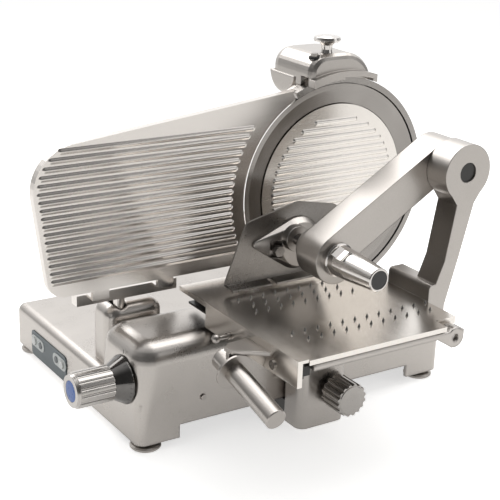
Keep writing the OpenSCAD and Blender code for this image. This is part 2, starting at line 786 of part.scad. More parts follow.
// Left end of a rib at a height, a fixed step inside the plate's edge
function edge_x(z) = z > gauge_shoulder
  ? gauge_big_r - gauge_reach - sqrt(pow(gauge_big_r, 2) - pow(min(z - gauge_shoulder, gauge_big_r - over), 2))
  : -gauge_reach + (gauge_shoulder - z) * gauge_lean / (gauge_shoulder + gauge_drop - gauge_small_r);
module gauge_plate() {
  outer = blade_r + rib_margin;
  color("silver") machine() {
    slab_y(0, gauge_t) gauge_outline(0);
    slab_y(gauge_t - fit, gauge_rim - gauge_t + fit) difference() {
      gauge_outline(0);
      gauge_outline(gauge_t);
    }
    for (i = [0:gauge_ribs - 1]) {
      z = gauge_rib_top - i * rib_pitch;
      x0 = edge_x(z) + rib_side;
      translate([0, 0, z]) slab_x(x0, -sqrt(outer * outer - z * z) - x0) rib_profile(0);
    }
  }
}

// Bar, tabs and post that carry the gauge plate
gauge_bar_ends = [66, 85];
gauge_bar_x = [post_x - gauge_bar_ends[0], post_x + gauge_bar_ends[1]];
gauge_bar_y = [27, 43];
gauge_bar_drop = [29, 14];
gauge_bar_z = [-gauge_drop - gauge_bar_drop[0], -gauge_drop - gauge_bar_drop[1]];
tab_w = 24;
tab_in = 15;
tab_t = 3;
module gauge_bar() {
  z1 = gauge_bar_z[1];
  color("gray") machine() {
    box([gauge_bar_x[0], gauge_bar_y[0], gauge_bar_z[0]], [gauge_bar_x[1], gauge_bar_y[1], z1]);
    for (x = [gauge_bar_x[0] + tab_in, gauge_bar_x[1] - tab_in - tab_w]) {
      box([x, gauge_rim - gauge_t, z1 - tab_t], [x + tab_w, gauge_bar_y[0] + over, z1]);
      box([x, gauge_rim - gauge_t, z1 - tab_t], [x + tab_w, gauge_rim + tab_t, -gauge_drop]);
    }
    translate([post_x, post_y, rail_z + slide_half]) cylinder(h = gauge_bar_z[0] - rail_z - slide_half + over, r = post_r);
  }
}

// Gauge slide: a block on the guide rod and the link to the cam
slide_len = 20;
slide_half = 11;
module gauge_slide() {
  y0 = ped_y0 + wall + gap;
  roller_y = knob_y + cam_r + gap + roller_r;
  color("gray") machine() difference() {
    union() {
      box([post_x - slide_half - over, y0, rail_z - slide_half], [cam_x + link_r + over, y0 + slide_len, rail_z + slide_half]);
      box([cam_x - link_r - over, y0, knob_z - link_r - over], [cam_x + link_r + over, y0 + slide_len / 2, rail_z]);
      translate([cam_x, 0, knob_z]) rod_y(roller_y, y0 + over - roller_y, link_r);
      translate([cam_x - cam_t / 2, roller_y, knob_z]) rod_x(0, cam_t, roller_r);
    }
    translate([post_x, 0, rail_z]) rod_y(y0 - over, slide_len + 2 * over, rail_r + fit);
  }
}

// Carriage column in front of the base, and the shoe that carries it on the guide rod
column_x0 = -145;
column_y1 = by0 - column_gap;
column_y0 = column_y1 - column_d;
column_lift = 3;
column_foot = bench + column_lift;
column_soft = 13;
bridge_drop = [40, 27];
bridge_z = [table_z - bridge_drop[0], table_z - bridge_drop[1]];
lock_in = [53, 55];
lock = [column_x0 + lock_in[0], bench + lock_in[1]];
stud_r = 7;
module carriage_column() {
  color("silver") machine() difference() {
    translate([0, 0, column_foot]) linear_extrude(bridge_z[0] - column_foot)
      round_rect([column_x0, column_y0], [column_x0 + column_w, column_y1], column_soft);
    translate([lock[0], 0, lock[1]]) rod_y(column_y0 - over, column_d / 2, stud_r + fit);
  }
}
shoe_inset = 7;
shoe_drop = 3;
module carriage_shoe() {
  x0 = column_x0 + shoe_inset;
  x1 = column_x0 + column_w - shoe_inset;
  color("gray") machine() difference() {
    union() {
      box([x0, column_y1, column_foot + shoe_drop], [x1, guide_y + 2 * guide_r, foot_top + edge_lift - shoe_drop]);
      box([x0, guide_y - 2 * guide_r, foot_top], [x1, guide_y + 2 * guide_r, guide_z + 2 * guide_r]);
    }
    translate([0, guide_y, guide_z]) rod_x(x0 - over, x1 - x0 + 2 * over, guide_r + fit);
  }
}

// Bridge on the column, with the bearing block of the right slide rod
sheet_x1 = 8;
sheet_x0 = sheet_x1 - table_w;
rail_off = 25;
rail_x1 = sheet_x0 + rail_off;
bridge_over = 17;
bridge_side = 2;
bridge_x = [rail_x1 - bridge_over, sheet_x1 - bridge_side];
bridge_front = 50;
bridge_rear = 3;
bridge_y = [column_y0 - bridge_front, column_y1 - bridge_rear];
rod_r = 6;
rod_in_at = [18, 18];
rod_at = [sheet_x1 - rod_in_at[0], table_z - rod_in_at[1]];
rod_block = [24, 32];
rod_block_in = 12;
sheet_t = 2;
module carriage_bridge() {
  y0 = bridge_y[0] + rod_block_in;
  color("gray") machine() difference() {
    union() {
      translate([0, 0, bridge_z[0]]) linear_extrude(bridge_z[1] - bridge_z[0])
        round_rect([bridge_x[0], bridge_y[0]], [bridge_x[1], bridge_y[1]], column_soft);
      box([rod_at[0] - rod_block[0] / 2, y0, bridge_z[1] - over], [rod_at[0] + rod_block[0] / 2, y0 + rod_block[1], table_z - sheet_t - over]);
    }
    translate([rod_at[0], 0, rod_at[1]]) rod_y(y0 - over, rod_block[1] + 2 * over, rod_r + fit);
  }
}

// Rail that stays with the carriage: a channel that opens to the left
rail_w = 12;
rail_h = 19;
rail_t = 3;
rail_in = 4;
rail_end = 9;
module fixed_rail() {
  x0 = rail_x1 - rail_w;
  z0 = bridge_z[1];
  y0 = bridge_y[0] + rail_in;
  color("black") machine() difference() {
    box([x0, y0, z0], [rail_x1, -rail_end, z0 + rail_h]);
    box([x0 - over, y0 - over, z0 + rail_t], [rail_x1 - rail_t, over, z0 + rail_h - rail_t]);
  }
}

// Lock knob on the column's front
lock_r = 23.5;
lock_len = 38;
lock_neck = [11, 6];
lock_flutes = 16;
lock_flute_r = 3;
lock_soft = 1;
module lock_knob() {
  color("silver") machine() translate([lock[0], column_y0 - gap, lock[1]]) {
    rod_y(-lock_neck[1], lock_neck[1], lock_neck[0]);
    rod_y(-over, column_d / 2 - over, stud_r);
    rotate([90, 0, 0]) translate([0, 0, lock_neck[1]]) {
      linear_extrude(lock_len - lock_soft) difference() {
        circle(lock_r);
        for (i = [0:lock_flutes - 1]) rotate([0, 0, i * 360 / lock_flutes]) translate([lock_r + lock_flute_r / 5, 0]) circle(lock_flute_r);
      }
      translate([0, 0, lock_len - lock_soft]) cylinder(h = lock_soft, r1 = lock_r - lock_flute_r, r2 = lock_r - lock_flute_r - lock_soft);
    }
  }
}

// Table sheet with its turned-down edges, and the rear bracket of the slide rod
sheet_y1 = -table_gap;
sheet_y0 = sheet_y1 - table_d;
lip_h = 6.5;
side_lip = 10.5;
notch = [34, 23];
tongue = 72;
flange_w = 14;
bracket_t = 10;
bracket_in = 14;
module table_sheet() {
  y_plate = sheet_y1 - tongue;
  xr = sheet_x1 - notch[0];
  yr = sheet_y0 + notch[1];
  yb = sheet_y1 - bracket_in;
  color("gainsboro") machine() difference() {
    union() {
      translate([0, 0, table_z - sheet_t]) linear_extrude(sheet_t) polygon([
        [sheet_x0, sheet_y1], [sheet_x1, sheet_y1], [sheet_x1, yr], [xr, yr], [xr, sheet_y0],
        [sheet_x0 + flange_w, sheet_y0], [sheet_x0 + flange_w, y_plate], [sheet_x0, y_plate]
      ]);
      box([sheet_x0 + flange_w, sheet_y0, table_z - lip_h], [xr, sheet_y0 + sheet_t, table_z]);
      box([xr - sheet_t, sheet_y0, table_z - lip_h], [xr, yr, table_z]);
      box([xr - sheet_t, yr, table_z - side_lip], [sheet_x1, yr + sheet_t, table_z]);
      box([sheet_x1 - sheet_t, yr, table_z - side_lip], [sheet_x1, sheet_y1, table_z]);
      box([sheet_x0, sheet_y1 - sheet_t, table_z - lip_h], [sheet_x1, sheet_y1, table_z]);
      box([sheet_x0, y_plate, table_z - lip_h], [sheet_x0 + sheet_t, sheet_y1, table_z]);
      box([rod_at[0] - rod_block[0] / 2, yb - bracket_t, rod_at[1] - rod_r - over], [rod_at[0] + rod_block[0] / 2, yb, table_z]);
    }
    translate([rod_at[0], 0, rod_at[1]]) rod_y(yb - bracket_t - over, bracket_t + 2 * over, rod_r + fit);
  }
}

// Spikes: a rear field of staggered rows and two rows at the front
spike_r = 2;
spike_tip = 0.3;
spike_fn = 16;
row_step = 21.5;
spike_in = 41;
spike_x0 = sheet_x0 + spike_in;
spike_free = [64, 6];
spike_last = [for (f = spike_free) floor((table_w - spike_in - f) / spike_pitch)];
front_row_y = -215;
rear_row_y = -90;
module table_spikes() {
  places = concat(
    [for (j = [0:2], i = [0:spike_last[0] - j % 2]) [spike_x0 + (i + (j % 2) / 2) * spike_pitch, rear_row_y - j * row_step]],
    [for (j = [0, 1], i = [0:spike_last[1] - j]) [spike_x0 + (i + j / 2) * spike_pitch, front_row_y - j * row_step]]
  );
  color("gray") machine() for (p = places) translate([p[0], p[1], table_z])
    cylinder(h = spike_h, r1 = spike_r, r2 = spike_tip, $fn = spike_fn);
}

// Left side plate: an angle that carries the sheet's edge, the handle and the pull pin
plate_x0 = sheet_x0 - 2;
plate_w = 7;
plate_h = 35;
plate_rise = 1.5;
plate_top = table_z + plate_rise;
plate_y1 = sheet_y1 - tongue - gap;
plate_front = 1;
flange_t2 = 4;
pin_drop = 23;
pin_at = [-138, table_z - pin_drop];
pin_r = 3;
side_screw = [-238, table_z - pin_drop];
side_screw_head = [6, 2];
socket_r = 2.5;
module side_plate() {
  y0 = sheet_y0 + plate_front;
  color("silver") machine() difference() {
    union() {
      box([plate_x0, y0, plate_top - plate_h], [plate_x0 + plate_w, plate_y1, plate_top]);
      box([plate_x0, y0, plate_top - flange_t2], [sheet_x0 + flange_w - gap, plate_y1, plate_top]);
    }
    translate([0, pin_at[0], pin_at[1]]) rod_x(plate_x0 - over, plate_w + 2 * over, pin_r + fit);
    translate([0, side_screw[0], side_screw[1]]) rod_x(plate_x0 - over, plate_w + 2 * over, screw_r);
  }
}
module side_screws() {
  color("dimgray") machine() translate([0, side_screw[0], side_screw[1]]) difference() {
    union() {
      rod_x(plate_x0 - side_screw_head[1], side_screw_head[1], side_screw_head[0]);
      rod_x(plate_x0 - over, plate_w + over, screw_r - fit);
    }
    rod_x(plate_x0 - side_screw_head[1] - over, side_screw_head[1], socket_r);
  }
}

// Rail that moves with the table inside the channel, and the right slide rod
rail_skirt = 3;
rail_back = 9;
module moving_rail() {
  z0 = bridge_z[1] + rail_t + gap;
  z1 = bridge_z[1] + rail_h - rail_t - gap;
  x0 = plate_x0 + plate_w;
  y0 = sheet_y0 + rail_back;
  color("black") machine() difference() {
    union() {
      box([x0, y0, z0], [rail_x1 - rail_t - gap, plate_y1, z1]);
      box([x0, y0, z0 - rail_skirt], [rail_x1 - rail_w - gap, plate_y1, plate_top - flange_t2]);
    }
    translate([0, pin_at[0], pin_at[1]]) rod_x(x0 - over, rail_w, pin_r + fit);
  }
}
rod_in = 4;
module slide_rod() {
  y0 = sheet_y0 + rod_in;
  color("lightgray") machine() translate([rod_at[0], 0, rod_at[1]]) rod_y(y0, sheet_y1 - bracket_in - y0, rod_r);
}

// Front bar under the lip, with the ear that holds the slide rod
bar_gap = 2;
bar_top = table_z - lip_h - bar_gap;
front_bar_h = 7;
front_bar_d = 18;
ear_r = 13.5;
ear_web = 8;
rod_nose = 5;
module front_bar() {
  y0 = sheet_y0 + over / 2;
  color("silver") machine() difference() {
    union() {
      box([rail_x1 - rail_t, y0, bar_top - front_bar_h], [rod_at[0] + ear_r - over, y0 + front_bar_d, bar_top]);
      box([rail_x1 - rail_t, y0 + sheet_t + over, bar_top - over], [-notch[0] - ear_web, y0 + front_bar_d, table_z - sheet_t]);
      slab_y(y0, front_bar_d) {
        translate(rod_at) circle(ear_r);
        translate([rod_at[0] - ear_r - ear_web, rod_at[1]]) square([2 * ear_r + ear_web, bar_top - rod_at[1]]);
        polygon([
          [rod_at[0] - ear_r - 2 * ear_web, bar_top - front_bar_h], [rod_at[0] - ear_r / 3, rod_at[1] - ear_r],
          rod_at, [rod_at[0] - ear_r, bar_top]
        ]);
      }
    }
    translate([rod_at[0], 0, rod_at[1]]) {
      rod_y(y0 + rod_in - over / 2, front_bar_d, rod_r + fit);
      rod_y(y0 - over, rod_in + over, rod_nose);
    }
  }
}

// Carriage handle: bracket, stub, disc guard and bar
axis_out = 34;
axis_x = plate_x0 - axis_out;
guard_r = 25;
guard_t = 3;
stub_len = 28;
stub_r = 15;
bar_chamfer = 1;
bracket_drop = 9;
bracket_z = table_z - bracket_drop;
bracket_plate_t = 5;
gusset_t = 6;
gusset_out = 4;
gusset_y = guard_y + gusset_out;
// Plan of the bracket: from the side plate, shares of its reach and of its length
bracket_len = 51;
bracket_front = 25;
bracket_y0 = guard_y - bracket_front;
bracket_shares = [[0, 0], [0, 1], [0.88, 0.96], [1.2, 0.8], [1.15, 0.5], [0.6, 0.3]];
module at_handle() { translate([axis_x, guard_y, guard_z]) rotate([90 + bar_tilt, 0, 0]) children(); }
module handle_bracket() {
  reach = plate_x0 - axis_x;
  color("silver") machine() {
    translate([0, 0, bracket_z - bracket_plate_t]) linear_extrude(bracket_plate_t)
      polygon([for (p = bracket_shares) [plate_x0 - p[0] * reach, bracket_y0 + p[1] * bracket_len]]);
    slab_y(gusset_y, gusset_t) polygon([
      [plate_x0, bracket_z], [plate_x0, plate_top - plate_h / 2], [axis_x, guard_z], [axis_x - stub_r / 2, guard_z],
      [axis_x - stub_r / 2, bracket_z - bracket_plate_t], [axis_x, bracket_z]
    ]);
    at_handle() translate([0, 0, -stub_len - guard_t]) cylinder(h = stub_len, r = stub_r);
  }
}
module handle_guard() {
  color("silver") machine() at_handle() translate([0, 0, -guard_t]) cylinder(h = guard_t, r = guard_r);
}
module handle_bar() {
  color("silver") machine() at_handle() rotate_extrude() polygon([
    [0, 0], [bar_r, 0], [bar_r, bar_len - bar_chamfer], [bar_r - bar_chamfer, bar_len], [0, bar_len]
  ]);
}

// Spring pull pin with its ball
ball_r = 6;
pin_out = 20;
pin_in = 4;
pin_collar = [5, 3.5];
module pull_pin() {
  color("silver") machine() translate([plate_x0 - pin_out, pin_at[0], pin_at[1]]) rotate([0, 90, 0]) rotate_extrude() {
    intersection() {
      circle(ball_r);
      translate([0, -ball_r]) square([ball_r, 2 * ball_r]);
    }
    square([pin_r, pin_out + plate_w + pin_in]);
    translate([0, pin_out - pin_collar[1] - gap]) square([pin_collar[0], pin_collar[1]]);
  }
}

// Post of the arm with its foot rail on the table's right edge
post_y0 = -212;
post_d = 38;
post_head_r = 38;
post_foot_drop = 18;
post_foot_z = table_z - post_foot_drop;
foot_rail_up = 22;
rail_top = table_z + foot_rail_up;
rail_foot_w = 30;
rail_foot_len = 85;
rail_soft = 6;
pin_big_r = 13.5;
post_foot = [11.5, 36];
post_knee = [33, 56];
post_knee_up = 54;
post_knee_z = table_z + post_knee_up;
post_waist_up = 129;
post_waist_z = table_z + post_waist_up;
post_neck_share = 0.95;
module arm_post() {
  x0 = sheet_x1 + gap;
  color("silver") machine() difference() {
    union() {
      slab_y(post_y0, post_d) {
        translate([pivot_x, pivot_z]) circle(post_head_r);
        polygon([
          [pivot_x - post_head_r * post_neck_share, pivot_z - post_head_r / 3], [post_knee[0] + post_d / 3, post_waist_z],
          [post_knee[0], post_knee_z], [post_foot[0], table_z], [post_foot[0], post_foot_z], [post_foot[1], post_foot_z],
          [post_knee[1], post_knee_z], [post_knee[1] + post_d / 2, post_waist_z],
          [pivot_x + post_head_r * post_neck_share, pivot_z - post_head_r / 3]
        ]);
      }
      box([x0, post_y0, post_foot_z], [x0 + rail_foot_w, post_y0 + rail_foot_len, table_z]);
      slab_y(post_y0, rail_foot_len) round_rect([x0 + over, table_z - rail_soft], [x0 + rail_foot_w, rail_top], rail_soft);
    }
    translate([pivot_x, 0, pivot_z]) rod_y(post_y0 - over, post_d + 2 * over, pin_big_r);
  }
}
pin_sink = 2;
module pivot_pin() {
  color("black") machine() translate([pivot_x, 0, pivot_z]) rod_y(post_y0 + pin_sink, post_d + arm_w - 3 * pin_sink, pin_big_r - fit);
}

// Arm: a band between its pivot end and its eye, with a boss behind the eye
eye_up = 69;
eye = [-117, table_z + eye_up];
arm_gap = 0.5;
arm_y0 = post_y0 + post_d + arm_gap;
arm_y1 = arm_y0 + arm_w;
arm_depth = 50;
eye_boss = [24, 16];
module arm_outline() {
  dx = pivot_x - eye[0];
  dz = pivot_z - eye[1];
  len = sqrt(dx * dx + dz * dz);
  translate(eye) rotate([0, 0, atan2(dz, dx)]) {
    circle(arm_eye_r);
    translate([len, 0]) circle(arm_head_r);
    polygon([
      [0, arm_eye_r], [len, arm_head_r], [len, arm_head_r - arm_depth], [len - arm_head_r, arm_head_r - arm_depth],
      [0, arm_eye_r - arm_depth]
    ]);
  }
}
module meat_arm() {
  color("silver") machine() difference() {
    union() {
      slab_y(arm_y0, arm_w) arm_outline();
      translate([eye[0], 0, eye[1]]) rod_y(arm_y1 - over, eye_boss[1] + over, eye_boss[0]);
    }
    translate([pivot_x, 0, pivot_z]) rod_y(arm_y0 - over, arm_w - pin_sink, pin_big_r + fit);
    translate([eye[0], 0, eye[1]]) rod_y(arm_y0 - over, arm_w + eye_boss[1] + 3 * over, shaft_r + fit);
  }
}

// Tapered grip on the arm, with its scoop and its end plug
grip_len = 86;
grip_r = [22.5, 14.3];
grip_step = [4, 2];
grip_waist = 34;
plug = [12.5, 6];
latch_a = -125;
latch_r = 13.5;
latch_w = 16;
latch_len = 27;
latch_in = 7;
latch_dip = 3.5;
shaft_in = 44;
module at_shaft() { translate([eye[0], 0, eye[1]]) children(); }
module pusher_grip() {
  y1 = arm_y0;
  y0 = y1 - grip_len;
  color("silver") machine() at_shaft() difference() {
    turned_y() polygon([
      [shaft_r + fit, y1], [grip_r[0], y1], [grip_r[0], y1 - grip_step[0]], [grip_r[0] - grip_step[1], y1 - grip_step[0] - over],
      [grip_r[0] - 1.5 * grip_step[1], y1 - grip_waist], [grip_r[1] + over, y0 + over], [grip_r[1], y0],
      [plug[0], y0], [plug[0], y0 + plug[1]], [shaft_r + fit, y0 + plug[1]]
    ]);
    rotate([0, latch_a, 0]) translate([0, 0, -latch_w / 2 - gap])
      box([latch_r - latch_dip, y1 - latch_in - latch_len - over, 0], [2 * grip_r[0], y1 - latch_in + gap, latch_w + 2 * gap]);
  }
}
module grip_plug() {
  y0 = arm_y0 - grip_len;
  color("black") machine() at_shaft() rod_y(y0 + over / 2, plug[1] - over / 2, plug[0] - fit);
}
// Finger latch: a lever in the grip's scoop, hinged at its end near the arm
// Outline of the latch: shares of its length and of its height
latch_h = 8;
latch_shares = [[0, 0], [0, 0.8], [0.15, 1], [0.45, 0.55], [0.75, 0.5], [1, 0.85], [1, 0.3], [0.8, 0]];
module finger_latch() {
  y1 = arm_y0 - latch_in;
  color("lightgray") machine() at_shaft() rotate([0, latch_a, 0]) slab_z(latch_w)
    polygon([for (p = latch_shares) [latch_r + p[1] * latch_h, y1 - p[0] * latch_len]]);
}

// Pusher: shaft, boss and plate with a folded toe
push_y = -62;
module pusher_shaft() {
  color("lightgray") machine() at_shaft() rod_y(arm_y0 - shaft_in, push_y - arm_y0 + shaft_in, shaft_r);
}
boss_x = 14;
boss_drop = 13;
boss_big = 37;
boss_tip = 66;
boss_tip_r = 6;
boss_t = 12;
boss_edge = 3;
collar = [18, 11];
bolt = [-26, -15];
bolt_slot = [17, 25];
bolt_r = 4;
bolt_head = [8, 7];
module pusher_boss() {
  color("silver") machine() at_shaft() difference() {
    union() {
      hull() {
        translate([boss_x, 0, -boss_drop]) rod_y(push_y - boss_edge, boss_edge, boss_big);
        translate([boss_x, 0, -boss_drop]) rod_y(push_y - boss_t, boss_edge, boss_big - boss_edge * 2);
        translate([boss_x - boss_tip, 0, -boss_drop / 2]) rod_y(push_y - boss_edge, boss_edge, boss_tip_r);
      }
      rod_y(push_y - boss_t - collar[1], collar[1] + over, collar[0]);
    }
    rod_y(push_y - boss_t - collar[1] - over, boss_t + collar[1] + 2 * over, shaft_r + fit);
    translate([bolt[0] - bolt_slot[0] / 2, push_y - boss_t - over, bolt[1] - bolt_slot[1] / 2]) cube([bolt_slot[0], boss_t + 2 * over, bolt_slot[1]]);
  }
}
plate_th = 2.5;
toe_d = 15;
toe_drop = 3;
toe_z = -60;
toe_x = [-96, 44];
toe_notch = [-34, -26];
// Corners of the pusher plate: centre and radius of each
plate_corners = [[-93, -55, 7], [-60, 16, 12], [14, 33, 12], [70, 22, 12], [46, -57, 5]];
module pusher_plate() {
  color("silver") machine() at_shaft() difference() {
    union() {
      slab_y(push_y, plate_th) hull() for (c = plate_corners) translate([c[0], c[1]]) circle(c[2], $fn = soft_fn);
      translate([bolt[0], 0, bolt[1]]) {
        rod_y(push_y - boss_t - over, boss_t + 2 * over, bolt_r);
        rotate([90, 0, 0]) translate([0, 0, boss_t - push_y]) cylinder(h = bolt_head[1], r = bolt_head[0], $fn = 6);
      }
      slab_x(toe_x[0], toe_x[1] - toe_x[0]) polygon([
        [push_y + plate_th, toe_z + plate_th], [push_y, toe_z + plate_th], [push_y - toe_d, toe_z + plate_th - toe_drop],
        [push_y - toe_d, toe_z - toe_drop], [push_y + plate_th, toe_z]
      ]);
    }
    box([toe_notch[0], push_y - toe_d - over, toe_z - 2 * toe_drop], [toe_notch[1], push_y - over, toe_z + 2 * toe_drop]);
  }
}

base_housing();
base_plate();
feet();
base_screws();
control_panel();
button_surrounds();
start_button();
stop_button();
panel_lamps();
gauge_pedestal();
guide_rods();
guide_rod_blocks();
blade_housing();
ring_guard();
cover_disc();
cover_tie_rod();
spindle_bearings();
motor_casing();
motor();
motor_pulley();
drive_belt();
sharpener_hood();
sharpener_cup();
sharpener_knob();
sharpener_stones();
stone_button();
blade();
blade_spindle();
blade_pulley();
thickness_knob();
dial_cone();
thickness_spindle();
gauge_plate();
gauge_bar();
gauge_slide();
carriage_column();
carriage_shoe();
carriage_bridge();
fixed_rail();
lock_knob();
table_sheet();
table_spikes();
side_plate();
side_screws();
moving_rail();
slide_rod();
front_bar();
handle_bracket();
handle_guard();
handle_bar();
pull_pin();
arm_post();
pivot_pin();
meat_arm();
pusher_grip();
grip_plug();
finger_latch();
pusher_shaft();
pusher_boss();
pusher_plate();
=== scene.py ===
# %% [markdown]
# A vertical food slicer: cast aluminium base and housing, a ribbed stainless gauge plate,
# a round blade, and a spiked table with a pressing arm that the user pushes by hand.
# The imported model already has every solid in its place, so this lesson gives the solids
# their finishes, adds soft ribs and small printed details, and lights the machine.

# %% load the machine
import json
import math

import bmesh
import bpy
from mathutils import Matrix, Vector


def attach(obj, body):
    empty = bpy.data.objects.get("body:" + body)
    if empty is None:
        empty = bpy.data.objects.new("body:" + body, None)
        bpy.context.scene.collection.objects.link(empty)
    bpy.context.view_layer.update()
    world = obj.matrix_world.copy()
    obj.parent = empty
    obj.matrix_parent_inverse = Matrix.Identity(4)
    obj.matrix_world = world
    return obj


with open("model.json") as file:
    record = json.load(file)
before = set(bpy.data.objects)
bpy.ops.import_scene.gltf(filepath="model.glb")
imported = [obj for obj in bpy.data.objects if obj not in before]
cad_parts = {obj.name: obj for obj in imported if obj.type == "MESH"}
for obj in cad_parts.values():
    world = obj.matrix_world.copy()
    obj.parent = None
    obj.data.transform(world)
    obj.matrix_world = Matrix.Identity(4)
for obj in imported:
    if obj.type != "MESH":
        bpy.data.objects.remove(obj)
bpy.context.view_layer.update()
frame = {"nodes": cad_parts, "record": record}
MM = 0.001
BLADE_AXIS = Vector((0.150, 0.001177, 0.290))

# %% [markdown]
# Every place on the machine is measured from the centre of the blade in millimetres, as
# the machine was set out. One function turns such a place into the frame's metres, and
# one matrix does the same for a whole mesh that was made in millimetres.

# %% places
BENCH = -290


def at(x, y, z):
    return BLADE_AXIS + Vector((x, y, z)) * MM


FROM_BLADE = Matrix.Translation(BLADE_AXIS) @ Matrix.Scale(MM, 4)
print("bench is at", round(at(0, 0, BENCH).z, 6))

# %% [markdown]
# The camera stands at the front left, a little above the machine, and leans two degrees.
# Its place, its turn and its lens come from points on the blade, the base and the table.
# Three directions are worked out from its angles, its right, its up and the way that it
# looks, and together they are its turn.

# %% camera
HEADING, DROP, LEAN = (math.radians(a) for a in (33.442, 19.493, 2.002))
CAMERA_PLACE = (-0.892, -1.3678, 0.797)
SENSOR_MM, LENS_MM = 36, 89.65
forward = Vector((math.sin(HEADING) * math.cos(DROP), math.cos(HEADING) * math.cos(DROP),
                  -math.sin(DROP)))
level = Vector((math.cos(HEADING), -math.sin(HEADING), 0))
upright = level.cross(forward)
right = level * math.cos(LEAN) + upright * math.sin(LEAN)
up = upright * math.cos(LEAN) - level * math.sin(LEAN)
lens = bpy.data.cameras.new("camera")
lens.sensor_width = SENSOR_MM
lens.lens = LENS_MM
camera = bpy.data.objects.new("camera", lens)
bpy.context.scene.collection.objects.link(camera)
turn = Matrix((right, up, -forward)).transposed().to_4x4()
camera.matrix_world = Matrix.Translation(CAMERA_PLACE) @ turn
bpy.context.scene.camera = camera
print("camera at", [round(v, 3) for v in camera.location])

# %% [markdown]
# Colours are written as the hex values of a screen. The shader works in linear light, so
# one function turns a hex value into linear numbers by the curve that screens use.

# %% colours
def linear(hex_code):
    parts = [int(hex_code[i:i + 2], 16) / 255 for i in (0, 2, 4)]
    return tuple(c / 12.92 if c <= 0.04045 else ((c + 0.055) / 1.055) ** 2.4 for c in parts) + (1.0,)


print("mid grey", [round(c, 3) for c in linear("808080")])

# %% [markdown]
# Every finish is a small node tree. One function adds a node with its settings, sets its
# inputs or links them, and hands the node back for the next one. Another starts a
# material with an empty tree.

# %% node helper
def add(mat, kind, inputs=None, **settings):
    made = mat.node_tree.nodes.new("ShaderNode" + kind)
    for name, value in settings.items():
        setattr(made, name, value)
    for key, value in (inputs or {}).items():
        if isinstance(value, bpy.types.NodeSocket):
            mat.node_tree.links.new(value, made.inputs[key])
        else:
            made.inputs[key].default_value = value
    return made


def blank(name):
    mat = bpy.data.materials.new(name)
    mat.use_nodes = True
    mat.node_tree.nodes.clear()
    return mat


print("node helper ready")

# %% [markdown]
# Metals differ by how they were worked. The grain is a noise that is stretched along the
# way the tool went: even for a tumbled casting, long for a brushed sheet, and rings round
# an axis for a turned or ground piece. Its sizes are in millimetres. Real marks are only
# tenths of a millimetre wide, so they are drawn coarser here, to show in the picture.

# %% grain of a worked metal
GRAIN_DETAIL, RING_DETAIL = 3.0, 2.0


def straight_grain(mat, size):
    place = add(mat, "TexCoord").outputs["Object"]
    scale = [1 / (s * MM) for s in size]
    stretched = add(mat, "Mapping", {"Vector": place, "Scale": scale}).outputs["Vector"]
    return add(mat, "TexNoise", {"Vector": stretched, "Scale": 1.0, "Detail": GRAIN_DETAIL}).outputs[0]


def ring_grain(mat, pitch, centre, axis):
    place = add(mat, "TexCoord").outputs["Object"]
    moved = add(mat, "VectorMath", {0: place, 1: centre}, operation="SUBTRACT").outputs[0]
    across = [0.0 if i == axis else 1.0 for i in range(3)]
    flat = add(mat, "VectorMath", {0: moved, 1: across}, operation="MULTIPLY").outputs[0]
    radius = add(mat, "VectorMath", {0: flat}, operation="LENGTH").outputs["Value"]
    step = add(mat, "Math", {0: radius, 1: 1 / (pitch * MM)}, operation="MULTIPLY").outputs[0]
    return add(mat, "TexNoise", {"W": step, "Scale": 1.0, "Detail": RING_DETAIL},
               noise_dimensions="1D").outputs[0]


print("grain ready")

# %% [markdown]
# The shader itself is the same for every metal: fully metallic, its colour between two
# hex values and its roughness between two numbers. The grain and slow blotches, which
# stand for handling and wiping, are added up, and their sum picks the value between the
# two. The grain also lifts a very low bump. A Bevel node rounds the edges in the shading:
# by millimetres on a casting, by less on a turned piece, and not at all on cut sheet.

# %% metal finish
BLOTCH = 45.0
EDGE = 0.6
EDGE_SAMPLES = 8
MARKS_LOW, MARKS_HIGH = 0.7, 1.3
BUMP_SHARE = 0.5


def metal(name, light, dark, rough, grain, bump=0.02, edge=EDGE, rings=None):
    mat = blank(name)
    marks = ring_grain(mat, *rings) if rings else straight_grain(mat, grain)
    blotches = straight_grain(mat, (BLOTCH, BLOTCH, BLOTCH))
    both = add(mat, "Math", {0: marks, 1: blotches}, operation="ADD").outputs[0]
    share = add(mat, "MapRange", {"Value": both, "From Min": MARKS_LOW, "From Max": MARKS_HIGH}).outputs[0]
    colour = add(mat, "Mix", {0: share, 6: linear(dark), 7: linear(light)}, data_type="RGBA").outputs[2]
    gloss = add(mat, "MapRange", {"Value": both, "From Min": MARKS_LOW, "From Max": MARKS_HIGH,
                                  "To Min": rough[0], "To Max": rough[1]}).outputs[0]
    relief = add(mat, "Bump", {"Height": marks, "Strength": BUMP_SHARE, "Distance": bump * MM})
    if edge:
        soft = add(mat, "Bevel", {"Radius": edge * MM}, samples=EDGE_SAMPLES)
        mat.node_tree.links.new(soft.outputs[0], relief.inputs["Normal"])
    shader = add(mat, "BsdfPrincipled", {"Base Color": colour, "Metallic": 1.0, "Roughness": gloss,
                                         "Normal": relief.outputs[0]})
    add(mat, "OutputMaterial", {"Surface": shader.outputs[0]})
    return mat


print("metal finish ready, blotches", BLOTCH, "mm")
